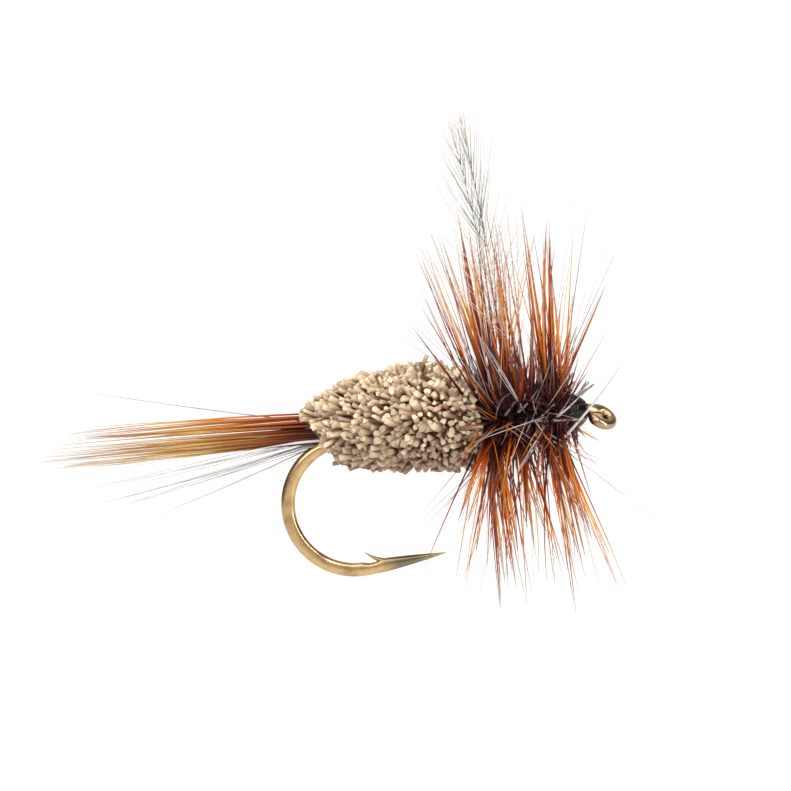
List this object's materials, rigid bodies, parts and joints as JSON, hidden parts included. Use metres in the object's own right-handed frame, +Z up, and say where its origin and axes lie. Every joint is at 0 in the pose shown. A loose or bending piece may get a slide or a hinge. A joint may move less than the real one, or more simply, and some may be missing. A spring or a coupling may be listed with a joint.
{
  "type": "dry fly",
  "caption": "Hackled dry fly with a clipped deer-hair body, feather wings and tail, tied on a barbed down-eye hook.",
  "frame": {"origin": "centre of the hook's eye, where the leader is knotted", "axes": "+X along the hook shank and out past the eye, +Z up towards the wing tips, +Y to the fly's left"},
  "size_m": [0.0212, 0.0131, 0.0172],
  "materials": {
    "bronze_hook": "bright bronzed steel wire, forged flat at the bend",
    "tan_thread": "waxed tan tying thread",
    "black_thread": "waxed black tying thread",
    "head_varnish": "hard clear head varnish over black thread",
    "deer_hair": "clipped hollow deer hair, pale cut ends over grey-brown shafts",
    "brown_hackle": "translucent red-brown cock hackle barbs, nearly black at the stem",
    "grizzly_hackle": "pale barred cock hackle barbs",
    "grizzly_quill": "smooth horn-coloured feather stem"
  },
  "bodies": {
    "root": {"brown_hackle_barbs_1": "brown_hackle", "brown_hackle_barbs_2": "brown_hackle", "brown_hackle_barbs_3": "brown_hackle", "brown_hackle_barbs_4": "brown_hackle", "brown_hackle_barbs_5": "brown_hackle", "brown_hackle_stem": "brown_hackle", "brown_stem_butt": "brown_hackle", "clump_binding_1": "tan_thread", "clump_binding_2": "tan_thread", "clump_binding_3": "tan_thread", "clump_binding_4": "tan_thread", "clump_binding_5": "tan_thread", "clump_binding_6": "tan_thread", "deer_hair_clump_1": "deer_hair", "deer_hair_clump_2": "deer_hair", "deer_hair_clump_3": "deer_hair", "deer_hair_clump_4": "deer_hair", "deer_hair_clump_5": "deer_hair", "deer_hair_clump_6": "deer_hair", "grizzly_hackle_barbs_1": "grizzly_hackle", "grizzly_hackle_barbs_2": "grizzly_hackle", "grizzly_hackle_barbs_3": "grizzly_hackle", "grizzly_hackle_barbs_4": "grizzly_hackle", "grizzly_hackle_stem": "grizzly_quill", "grizzly_stem_butt": "grizzly_quill", "head_cement": "head_varnish", "head_thread": "black_thread", "hook": "bronze_hook", "left_wing_post_wraps": "black_thread", "left_wing_quill": "grizzly_quill", "left_wing_vane": "grizzly_hackle", "right_wing_post_wraps": "black_thread", "right_wing_quill": "grizzly_quill", "right_wing_vane": "grizzly_hackle", "tail_brown_fibres": "brown_hackle", "tail_grizzly_fibres": "grizzly_hackle", "tail_tie_in_band": "black_thread", "thorax_thread": "black_thread", "thread_foundation": "tan_thread", "whip_finish_wraps": "black_thread"}
  },
  "joints": []
}
